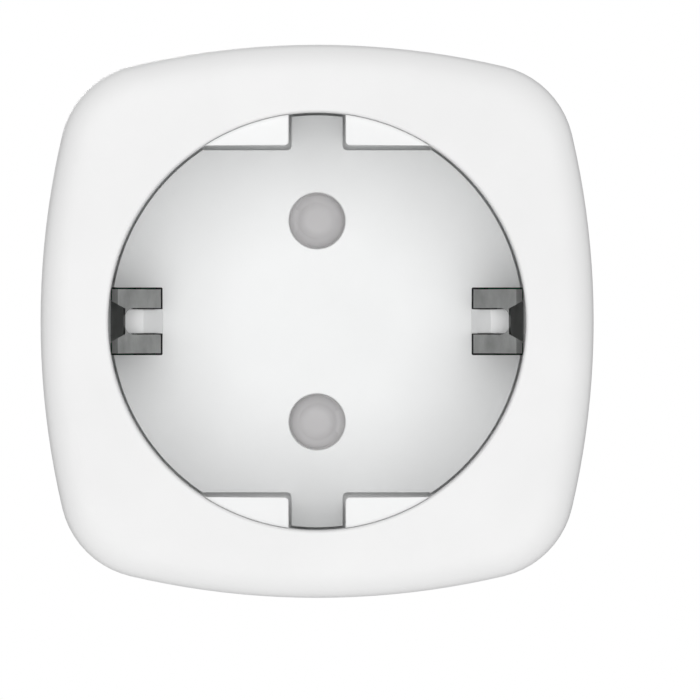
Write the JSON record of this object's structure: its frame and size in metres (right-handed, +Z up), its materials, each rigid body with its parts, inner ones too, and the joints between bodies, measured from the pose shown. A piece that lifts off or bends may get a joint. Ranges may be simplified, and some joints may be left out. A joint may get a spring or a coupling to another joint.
{
  "type": "smart plug",
  "caption": "Square smart plug: shuttered, earthed recessed socket in front, round-pin earthed plug behind, and switching and metering electronics inside.",
  "frame": {"origin": "centre between the plug's two pins, on the end face of the plug's neck", "axes": "+Y along the plug's pins, towards the wall; the socket faces -Y; +Z up, towards the power button; +X to the right, seen from the front"},
  "size_m": [0.0516, 0.08, 0.0516],
  "materials": {
    "shell": "satin white moulded plastic with a fine texture",
    "insert": "smooth white moulded plastic",
    "button": "satin white moulded plastic",
    "shutter": "pale grey moulded plastic",
    "carrier": "dark grey heat-resistant plastic",
    "clear": "clear moulded plastic",
    "spring_steel": "bright drawn wire",
    "screw_steel": "zinc-plated steel",
    "contact_metal": "rolled copper alloy",
    "earth_metal": "nickel-plated rolled strip",
    "pin_metal": "nickel-plated turned brass",
    "board": "green solder mask on glass-fibre laminate",
    "module_board": "dark solder mask on glass-fibre laminate",
    "shield_metal": "tin-plated sheet",
    "relay_case": "blue moulded plastic",
    "ferrite": "dark sintered ferrite",
    "winding": "copper wire under yellow tape",
    "can": "aluminium cans in dark sleeves",
    "film_capacitor": "yellow moulded case",
    "varistor_coat": "blue dipped coating",
    "resistor_body": "green cement coating",
    "chip": "black moulded epoxy",
    "switch_case": "dark grey moulded plastic",
    "led": "clear epoxy"
  },
  "bodies": {
    "housing": {"front_shell": "shell", "socket_insert": "insert", "contact_carrier": "carrier", "carrier_screws": "screw_steel", "line_contact": "contact_metal", "neutral_contact": "contact_metal", "earth_bracket": "earth_metal", "rear_housing": "shell", "housing_screws": "screw_steel", "line_pin": "pin_metal", "neutral_pin": "pin_metal", "earth_strip_left": "earth_metal", "earth_strip_right": "earth_metal", "earth_sleeve": "earth_metal", "main_board": "board", "relay": "relay_case", "transformer_core": "ferrite", "transformer_bobbin": "carrier", "transformer_winding": "winding", "bulk_capacitors": "can", "safety_capacitor": "film_capacitor", "varistor": "varistor_coat", "fuse_resistor": "resistor_body", "filter_inductor": "ferrite", "current_shunt": "contact_metal", "bridge_rectifier": "chip", "metering_chip": "chip", "control_board": "board", "board_header": "chip", "wifi_module": "module_board", "wifi_shield": "shield_metal", "regulator": "chip", "status_led": "led", "light_pipe": "clear", "tact_switch": "switch_case"},
    "shutter": {"shutter": "shutter", "shutter_spring": "spring_steel"},
    "button": {"power_button": "button"},
    "plunger": {"switch_plunger": "switch_case"}
  },
  "joints": [
    {"name": "shutter_turn", "type": "hinge", "parent": "housing", "child": "shutter", "pos_m": [0, -0.04, 0], "axis": [0, -1, 0], "range_deg": [0, 38], "stiffness_Nm_per_rad": 0.0004, "springref_deg": -20.05, "deforming": ["shutter_spring"]},
    {"name": "button_press", "type": "slide", "parent": "housing", "child": "button", "axis": [0, 0, -1], "range_m": [0, 0.0003], "stiffness_N_per_m": 3300, "springref_m": -0.0003},
    {"name": "plunger_press", "type": "slide", "parent": "housing", "child": "plunger", "axis": [0, 0, -1], "range_m": [0, 0.0003]}
  ],
  "couplings": [
    {"joint": "plunger_press", "follows": "button_press", "ratio": 1}
  ]
}
